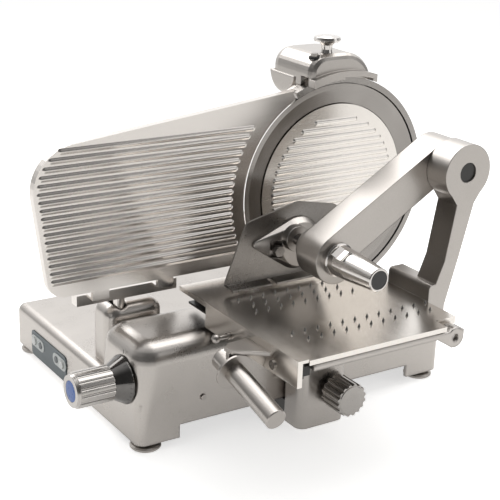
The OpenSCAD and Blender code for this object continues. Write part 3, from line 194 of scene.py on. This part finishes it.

# %% [markdown]
# Tumbled and polished castings have a soft, broad sheen. Brushed sheet is brighter, with
# faint marks along the brushing. Turned steel is satin. Ground rods, polished tube and
# chrome mirror the room most clearly, and painted blocks are dull. The chrome's colour is
# set far darker than chrome, as painted shade for the dark room that the dial cone mirrors.

# %% castings, sheet, rods and tube
ALONG_X = (60, 2.4, 2.4)
ALONG_Y = (2.4, 60, 2.4)
casting = metal("cast_aluminium_tumbled", "B9B4AF", "B1ACA7", (0.26, 0.33), (1.6, 1.6, 1.6),
                bump=0.004, edge=5.0)
arm_casting = metal("cast_aluminium_polished", "B4AFAA", "ACA7A2", (0.28, 0.34), (1.6, 1.6, 1.6),
                    bump=0.003, edge=1.6)
steel_x = metal("stainless_sheet_brushed_along_x", "D8D3CE", "D2CDC8", (0.22, 0.26), ALONG_X,
                bump=0.0005, edge=0)
steel_y = metal("stainless_sheet_brushed_along_y", "E4DFD9", "DED9D3", (0.20, 0.25), ALONG_Y,
                bump=0.0005, edge=0)
cover_steel = metal("stainless_cover_ground", "E3DED8", "DED9D3", (0.24, 0.28), ALONG_X,
                    bump=0.0005, edge=0)
turned = metal("stainless_turned_satin", "B0ABA6", "A7A29D", (0.28, 0.34), (1.2, 30, 1.2), bump=0.003)
# Its darker colour is also put on the table's spikes, as painted shade for the dark reflections in them.
rod_steel_and_spike_shade = metal("hardened_rod_ground_and_spike_shade", "ABA7A3", "979390", (0.16, 0.24), (1.2, 1.2, 1.2),
                  bump=0.002, edge=0.3)
guard_steel = metal("stainless_ring_guard_satin", "A29E9A", "918D89", (0.26, 0.36), (2, 2, 2), bump=0.004)
tube_steel = metal("stainless_tube_polished", "D2CECA", "C8C4C0", (0.12, 0.18), (20, 20, 20),
                   bump=0.001, edge=0.4)
# The dial cone's chrome is given a dark colour: painted shade for the dark front and left that it mirrors.
chrome_with_painted_shade = metal("chromed_brass_painted_shade", "6F6D6B", "666462", (0.08, 0.14), (8, 8, 8),
                bump=0.002, edge=0.4)
grey_block = metal("aluminium_block_painted_grey", "6E6D6B", "5E5D5B", (0.40, 0.50), (1, 1, 1), bump=0.03)
print("metals", len(bpy.data.materials))

# %% [markdown]
# The blade is hardened steel, ground while it turns, so its marks are rings round its
# axis, and it looks darker than the sheet beside it. The two fluted knobs are turned,
# and their marks are rings round their own axes.

# %% ground and turned finishes
DIAL_FOOT = -365.3
KNOB_Y, KNOB_Z = -56, -197
KNOB_AXIS = at(DIAL_FOOT, KNOB_Y, KNOB_Z)
LOCK_AXIS = at(-92, -161, -235)
ROUND_X, ROUND_Y = 0, 1
blade_steel = metal("blade_steel_ground", "9C9894", "8D8985", (0.20, 0.26), None, bump=0.002,
                    edge=0.1, rings=(0.7, BLADE_AXIS, ROUND_Y))
knob_metal = metal("knob_aluminium_turned", "BEBAB6", "AAA6A2", (0.20, 0.30), None, bump=0.004,
                   edge=0.5, rings=(0.6, KNOB_AXIS, ROUND_X))
lock_metal = metal("lock_knob_aluminium_turned", "B4B0AC", "A29E9A", (0.22, 0.32), None, bump=0.004,
                   edge=0.5, rings=(0.6, LOCK_AXIS, ROUND_Y))
print("turned finishes ready")

# %% [markdown]
# The rest isn't bare metal. Moulded plastic, lamp lenses and enamel are glossy, printed
# film and black paint are satin, and belt rubber and the sharpening stones' grit are
# matt. Each has a fine even texture and a plain dielectric shader.

# %% plastic, film, rubber and grit
def moulded(name, light, dark, rough, size, bump, ior=1.5):
    mat = blank(name)
    marks = straight_grain(mat, (size, size, size))
    colour = add(mat, "Mix", {0: marks, 6: linear(dark), 7: linear(light)}, data_type="RGBA").outputs[2]
    gloss = add(mat, "MapRange", {"Value": marks, "To Min": rough[0], "To Max": rough[1]}).outputs[0]
    relief = add(mat, "Bump", {"Height": marks, "Strength": BUMP_SHARE, "Distance": bump * MM}).outputs[0]
    shader = add(mat, "BsdfPrincipled", {"Base Color": colour, "Roughness": gloss, "IOR": ior,
                                         "Normal": relief})
    add(mat, "OutputMaterial", {"Surface": shader.outputs[0]})
    return mat


black_paint = moulded("steel_painted_satin_black", "302E2B", "262422", (0.34, 0.46), 0.8, 0.02)
black_plastic = moulded("abs_plug_black", "1C1B1A", "141312", (0.22, 0.30), 0.7, 0.01, 1.54)
film = moulded("polyester_film_slate", "4A575C", "424E53", (0.36, 0.46), 0.6, 0.01, 1.57)
pale_film = moulded("polyester_film_pale", "C9CDCC", "BEC2C1", (0.38, 0.48), 0.6, 0.01, 1.57)
cap = moulded("button_cap_abs", "D6D8D6", "C8CAC8", (0.18, 0.26), 0.8, 0.005, 1.54)
lamp = moulded("lamp_lens_dark", "3C474B", "333D41", (0.10, 0.18), 1.0, 0.003, 1.49)
belt = moulded("belt_rubber", "1E1D1C", "151413", (0.62, 0.75), 0.9, 0.05, 1.52)
grit = moulded("corundum_stone", "C9C5BA", "A8A498", (0.85, 0.95), 0.5, 0.15)
blue_enamel = moulded("badge_enamel_blue", "0A5AB2", "0950A0", (0.25, 0.32), 3.0, 0.004, 1.52)
ink = moulded("dial_ink_black", "2A2928", "201F1E", (0.45, 0.55), 0.5, 0.002)
print("all finishes", len(bpy.data.materials))

# %% [markdown]
# Each CAD node takes the finish of its material slot, where sheet steel is brushed from
# left to right. Some nodes need their own: the table and its side plate are brushed from
# front to back, the arm and the smaller castings are polished to finer edges, and the
# ring guard and the pusher's plate are satin and darker. The table's spikes take the
# darker ground-rod finish, which paints in the dark reflections that they show.

# %% finishes onto the nodes
SLOT_FINISH = {
    "cast_alloy": casting, "sheet_steel": steel_x, "blade_steel": blade_steel,
    "turned_steel": turned, "knob_alloy": knob_metal, "dial_chrome": chrome_with_painted_shade,
    "shaft_steel": rod_steel_and_spike_shade, "dark_alloy": grey_block, "pulley_alloy": turned,
    "belt_rubber": belt, "stone_grit": grit, "black_rail": black_paint,
    "black_plug": black_plastic, "panel_film": film, "surround_film": pale_film,
    "button_cap": cap,
}
NODE_FINISH = {
    "table_sheet": steel_y, "side_plate": steel_y, "cover_disc": cover_steel,
    "meat_arm": arm_casting, "arm_post": arm_casting, "pusher_boss": arm_casting,
    "handle_bracket": arm_casting, "sharpener_hood": arm_casting,
    # The spikes take the darker rod finish as painted shade for their dark reflections.
    "ring_guard": guard_steel, "pusher_plate": guard_steel, "table_spikes": rod_steel_and_spike_shade,
    "pusher_grip": tube_steel, "finger_latch": tube_steel, "sharpener_knob": tube_steel,
    "lock_knob": lock_metal, "panel_lamps": lamp,
}
for entry in frame["record"]["subparts"]:
    name = entry["node"]
    mesh = frame["nodes"][name].data
    mesh.materials.clear()
    mesh.materials.append(NODE_FINISH.get(name, SLOT_FINISH[entry["material_slot"]]))

# %% [markdown]
# New pieces start as a bmesh circle, cube or short outline. This function puts a bmesh
# in its place and makes it an object with its finish, its slot and the body that it
# moves with. A second one shades a bmesh smooth and closes its open ends.

# %% piece helper
def piece(name, bm, place, finish, body):
    bmesh.ops.transform(bm, matrix=place, verts=bm.verts)
    bmesh.ops.recalc_face_normals(bm, faces=bm.faces)
    mesh = bpy.data.meshes.new(name)
    bm.to_mesh(mesh)
    bm.free()
    mesh.materials.append(finish)
    made = bpy.data.objects.new(name, mesh)
    bpy.context.scene.collection.objects.link(made)
    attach(made, body)
    print(name, len(mesh.polygons), "faces")


def smooth_and_close(bm):
    for face in bm.faces:
        face.smooth = True
    bmesh.ops.holes_fill(bm, edges=[e for e in bm.edges if e.is_boundary])


print("piece helper ready")

# %% [markdown]
# The ribs of the gauge plate and of the cover are pressed beads: low, wide and soft at
# the foot, so that each one shows a bright side and a dark side. The solids carry plainer
# and narrower beads, and the soft ones lie over them. Half an outline is spun half a turn
# at each end of a bead, and the whole outline is extruded between the ends.

# %% one soft bead
BEAD_HALF, BEAD_HIGH, BEAD_SINK = 5.1, 2.2, 0.15
BEAD_STEPS, BEAD_END_STEPS = 8, 10
SAME_POINT = 0.001


def bead_outline(bm, x, y, z, first):
    shares = [i / BEAD_STEPS for i in range(first, BEAD_STEPS + 1)]
    rises = [BEAD_HIGH * (0.5 + 0.5 * math.cos(math.pi * share)) for share in shares]
    verts = [bm.verts.new((x, y + BEAD_SINK - rise, z + BEAD_HALF * share))
             for rise, share in zip(rises, shares)]
    return verts, [bm.edges.new(pair) for pair in zip(verts, verts[1:])]


def bead(bm, x0, x1, y, z):
    for end, angle in ((x0, -math.pi), (x1, math.pi)):
        verts, edges = bead_outline(bm, end, y, z, 0)
        bmesh.ops.spin(bm, geom=verts + edges, cent=(end, y, z), axis=(0, 1, 0), angle=angle,
                       steps=BEAD_END_STEPS)
    verts, edges = bead_outline(bm, x0, y, z, -BEAD_STEPS)
    grown = bmesh.ops.extrude_edge_only(bm, edges=edges)["geom"]
    far = [g for g in grown if isinstance(g, bmesh.types.BMVert)]
    bmesh.ops.translate(bm, verts=far, vec=(x1 - x0, 0, 0))


def beads(name, places, y, finish, body):
    bm = bmesh.new()
    for x0, x1, z in places:
        bead(bm, x0, x1, y, z)
    bmesh.ops.remove_doubles(bm, verts=bm.verts, dist=SAME_POINT)
    smooth_and_close(bm)
    piece(name, bm, FROM_BLADE, finish, body)


print("a bead is", 2 * BEAD_HALF, "mm wide")

# %% [markdown]
# The gauge plate has a rib at every 10.7 mm. On the left they follow the plate's outline,
# which is a big round corner over a side that leans a little. On the right they stop
# short of the blade, on one circle.

# %% ribs of the gauge plate
RIB_PITCH, GAUGE_TOP_RIB, GAUGE_RIBS = 10.7, 101, 17
REACH, SHOULDER, CORNER_R = 460, 49, 60
LEAN_OVER, LEAN_DOWN = 16, 67
RIB_SIDE, RIB_STOP = 8, 173


def half_chord(radius, z):
    return math.sqrt(radius ** 2 - z * z)


def gauge_edge(z):
    if z > SHOULDER:
        return CORNER_R - REACH - half_chord(CORNER_R, z - SHOULDER)
    return -REACH + (SHOULDER - z) * LEAN_OVER / (SHOULDER + LEAN_DOWN)


heights = [GAUGE_TOP_RIB - i * RIB_PITCH for i in range(GAUGE_RIBS)]
gauge_places = [(gauge_edge(z) + RIB_SIDE, -half_chord(RIB_STOP, z), z) for z in heights]
beads("gauge_beads", gauge_places, 0, steel_x, "gauge")

# %% [markdown]
# The cover disc over the blade has the same ribs, within a circle of its own.

# %% ribs of the cover disc
COVER_RIB_R, COVER_FACE, RIBS_EACH_WAY = 102, 0.4, 9
heights = [i * RIB_PITCH for i in range(-RIBS_EACH_WAY, RIBS_EACH_WAY + 1)]
cover_places = [(-half_chord(COVER_RIB_R, z), half_chord(COVER_RIB_R, z), z) for z in heights]
beads("cover_beads", cover_places, COVER_FACE, cover_steel, "base")

# %% [markdown]
# Where the gauge plate is cut round the blade, its edge is rolled to a soft lip that
# nearly meets the blade. The lip's round section is spun along the cut, between two
# angles about the blade's axis.

# %% lip of the gauge plate's cut
LIP_FROM, LIP_TO, LIP_R, LIP_HALF = 118.0, 216.6, 151.7, 1.2
LIP_SIDES, LIP_STEPS = 12, 72
lip = bmesh.new()
section = bmesh.ops.create_circle(lip, segments=LIP_SIDES, radius=LIP_HALF)["verts"]
bmesh.ops.translate(lip, verts=section, vec=(LIP_R, LIP_HALF - BEAD_SINK, 0))
start = Matrix.Rotation(math.radians(-LIP_FROM), 3, "Y")
bmesh.ops.rotate(lip, verts=section, cent=(0, 0, 0), matrix=start)
bmesh.ops.spin(lip, geom=section + lip.edges[:], cent=(0, 0, 0), axis=(0, 1, 0),
               angle=math.radians(LIP_FROM - LIP_TO), steps=LIP_STEPS)
smooth_and_close(lip)
piece("gauge_lip", lip, FROM_BLADE, steel_x, "gauge")

# %% [markdown]
# The knob's end carries an enamelled disc in a shallow recess, and it is left plain here.
# It is spun from a short outline of radii and heights, so that it has a low crown and a
# soft rim.

# %% badge in the knob's end
KNOB_LEN, CONE_LEN, BADGE_DEEP, BADGE_STEPS = 53, 22.0, 0.6, 64
BADGE_OUTLINE = [(0, -0.05), (14.2, -0.05), (14.2, 0.25), (13.8, 0.5), (9, 0.85), (0, 1.0)]


def spun(outline, steps):
    bm = bmesh.new()
    verts = [bm.verts.new((r * MM, 0, h * MM)) for r, h in outline]
    edges = [bm.edges.new(pair) for pair in zip(verts, verts[1:])]
    bmesh.ops.spin(bm, geom=verts + edges, cent=(0, 0, 0), axis=(0, 0, 1), angle=math.tau,
                   steps=steps, use_merge=True)
    bmesh.ops.remove_doubles(bm, verts=bm.verts, dist=SAME_POINT * MM)
    return bm


knob_end = DIAL_FOOT - CONE_LEN - KNOB_LEN
to_knob = Matrix.Rotation(math.radians(-90), 4, "Y")
badge_place = Matrix.Translation(at(knob_end + BADGE_DEEP, KNOB_Y, KNOB_Z)) @ to_knob
piece("knob_badge", spun(BADGE_OUTLINE, BADGE_STEPS), badge_place, blue_enamel, "thickness")

# %% [markdown]
# The cone behind the knob is the scale of slice thickness: a fine line at every half
# millimetre, and a longer one at every second millimetre. Each line is a cube that is
# scaled, laid on the cone's slope and turned to its place. An index line on the casting
# above the cone gives the reading.

# %% lines on the dial and on the casting
CONE_WIDE, CONE_NARROW, CONE_RIM = 33.0, 21.4, 2.0
DIAL_TURN, DIAL_GAPS, GAPS_TO_LONG = 330, 28, 4
LINE_LONG, LINE_SHORT, LINE_IN, LINE_THICK, LINE_WIDE = 5.0, 3.0, 1.0, 0.1, 0.45
INDEX_X, INDEX_Z, INDEX_SIZE = -365.0, -158, (0.3, 1.0, 5.0)
slope = math.atan2(CONE_WIDE - CONE_NARROW, CONE_LEN - CONE_RIM)
dial = bmesh.new()
for i in range(DIAL_GAPS + 1):
    length = LINE_SHORT if i % GAPS_TO_LONG else LINE_LONG
    line = bmesh.ops.create_cube(dial, size=1)["verts"]
    middle = CONE_RIM + LINE_IN + length / 2 * math.cos(slope)
    radius = CONE_WIDE - (middle - CONE_RIM) * math.tan(slope)
    size = Matrix.Diagonal((LINE_THICK, LINE_WIDE, length, 1))
    lean = Matrix.Translation((radius, 0, middle)) @ Matrix.Rotation(-slope, 4, "Y")
    spread = Matrix.Rotation(math.radians(DIAL_TURN) * i / DIAL_GAPS, 4, "Z")
    bmesh.ops.transform(dial, matrix=spread @ lean @ size, verts=line)
dial_place = Matrix.Translation(KNOB_AXIS) @ to_knob @ Matrix.Scale(MM, 4)
piece("dial_lines", dial, dial_place, ink, "thickness")
index = bmesh.new()
bmesh.ops.create_cube(index, size=1)
index_size = Matrix.Diagonal([side * MM for side in INDEX_SIZE] + [1])
index_place = Matrix.Translation(at(INDEX_X, KNOB_Y, INDEX_Z)) @ index_size
piece("index_line", index, index_place, ink, "base")

# %% [markdown]
# The stone's push button on the sharpener sits in a black seal. The seal is a soft ring
# that fills the well round the button, and it is spun from a short closed outline.

# %% seal round the stone's button
SEAL_OUTLINE = [(5.6, 0), (7.8, 0), (7.8, 2.6), (7.2, 3.2), (6.2, 3.2), (5.6, 2.6), (5.6, 0)]
SEAL_PLACE, SEAL_STEPS = Matrix.Translation(at(-43, 1, 188.1)), 48
piece("stone_button_seal", spun(SEAL_OUTLINE, SEAL_STEPS), SEAL_PLACE, belt, "sharpener")

# %% [markdown]
# The machine stands on a plain pale floor, which is lit like everything else. For the
# camera the floor also glows, so that it meets the white backdrop and still keeps the
# machine's shadow, and in reflections it glows by a part of that.

# %% floor
FLOOR_SIZE = 9
FLOOR_LIFT = 0.6
MIRRORED_SHARE = 0.65
ground = bmesh.new()
bmesh.ops.create_grid(ground, x_segments=1, y_segments=1, size=FLOOR_SIZE)
floor_mesh = bpy.data.meshes.new("floor")
ground.to_mesh(floor_mesh)
ground.free()
floor = bpy.data.objects.new("floor", floor_mesh)
bpy.context.scene.collection.objects.link(floor)
pale = blank("floor_pale")
rays = add(pale, "LightPath").outputs
mirrored = add(pale, "Math", {0: rays["Is Glossy Ray"], 1: rays["Is Transmission Ray"]},
               operation="MAXIMUM").outputs[0]
part = add(pale, "Math", {0: mirrored, 1: MIRRORED_SHARE}, operation="MULTIPLY").outputs[0]
seen = add(pale, "Math", {0: rays["Is Camera Ray"], 1: part}, operation="MAXIMUM").outputs[0]
lift = add(pale, "Math", {0: seen, 1: FLOOR_LIFT}, operation="MULTIPLY").outputs[0]
matt = add(pale, "BsdfDiffuse", {"Color": linear("F4F3F1")}).outputs[0]
glow = add(pale, "Emission", {"Strength": lift}).outputs[0]
lit = add(pale, "AddShader", {0: matt, 1: glow}).outputs[0]
add(pale, "OutputMaterial", {"Surface": lit})
floor_mesh.materials.append(pale)
print("floor ready")

# %% [markdown]
# A polished casting shows the room more than its own colour. The room here is a studio
# that is bright above and behind, a little to the right, and dim in front and below, so
# the faces of the machine part from each other as they do in a product photograph. Only
# reflections see that: diffuse light from the room stays plain and even, and the camera
# sees white.

# %% room
AMBIENT = 0.42
BRIGHT_WAY = (0.3, 0.6, 0.74)
FACING_DIM, FACING_BRIGHT = 0.0, 0.95
ROOM_DIM, ROOM_BRIGHT = 0.12, 1.3
world = bpy.data.worlds.new("studio")
world.use_nodes = True
world.node_tree.nodes.clear()
bpy.context.scene.world = world
way = add(world, "TexCoord").outputs["Generated"]
facing = add(world, "VectorMath", {0: way, 1: BRIGHT_WAY}, operation="DOT_PRODUCT").outputs["Value"]
room = add(world, "MapRange", {"Value": facing, "From Min": FACING_DIM, "From Max": FACING_BRIGHT,
                               "To Min": ROOM_DIM, "To Max": ROOM_BRIGHT},
           interpolation_type="SMOOTHSTEP").outputs[0]
rays = add(world, "LightPath").outputs
for_glossy = add(world, "Mix", {0: rays["Is Glossy Ray"], 2: AMBIENT, 3: room}).outputs[0]
strength = add(world, "Mix", {0: rays["Is Camera Ray"], 2: for_glossy, 3: 1.0}).outputs[0]
sky = add(world, "Background", {"Color": (1, 1, 1, 1), "Strength": strength}).outputs[0]
add(world, "OutputWorld", {"Surface": sky})
print("room ready")

# %% [markdown]
# Four softboxes give the metal something to mirror. A broad one hangs over the machine,
# a little to its right, and shows in rounded tops. A bright one behind shows in the top
# face of the arm. One at the front right lights the floor that the front faces mirror,
# and a faint one stands at the left. Each has a place, a target, a width, a height and a
# radiance, from which its power in watts is worked out.

# %% lamps
def softbox(name, place, target, width, height, radiance):
    lamp_data = bpy.data.lights.new(name, "AREA")
    lamp_data.shape = "RECTANGLE"
    lamp_data.size, lamp_data.size_y = width, height
    lamp_data.energy = radiance * width * height * math.pi
    lamp_object = bpy.data.objects.new(name, lamp_data)
    bpy.context.scene.collection.objects.link(lamp_object)
    look = (Vector(target) - Vector(place)).to_track_quat("-Z", "Y")
    lamp_object.matrix_world = Matrix.Translation(place) @ look.to_matrix().to_4x4()
    print(name, round(lamp_data.energy, 1), "W")


softbox("overhead_box", (0.7, 0.3, 2.0), (0, 0, 0.2), 2.2, 1.8, 1.7)
softbox("front_right_box", (1.7, -1.9, 1.1), (0.2, -0.3, 0), 1.5, 1.5, 1.15)
softbox("back_box", (-0.3, 1.4, 1.75), (0, 0, 0.3), 1.6, 1.2, 3.0)
softbox("left_box", (-2.4, -0.6, 1.4), (0, 0, 0.2), 1.2, 1.2, 0.1)

# %% [markdown]
# The picture is made with the Standard view, so that a colour renders about as it is
# written.

# %% close the scene
bpy.context.scene.view_settings.view_transform = "Standard"
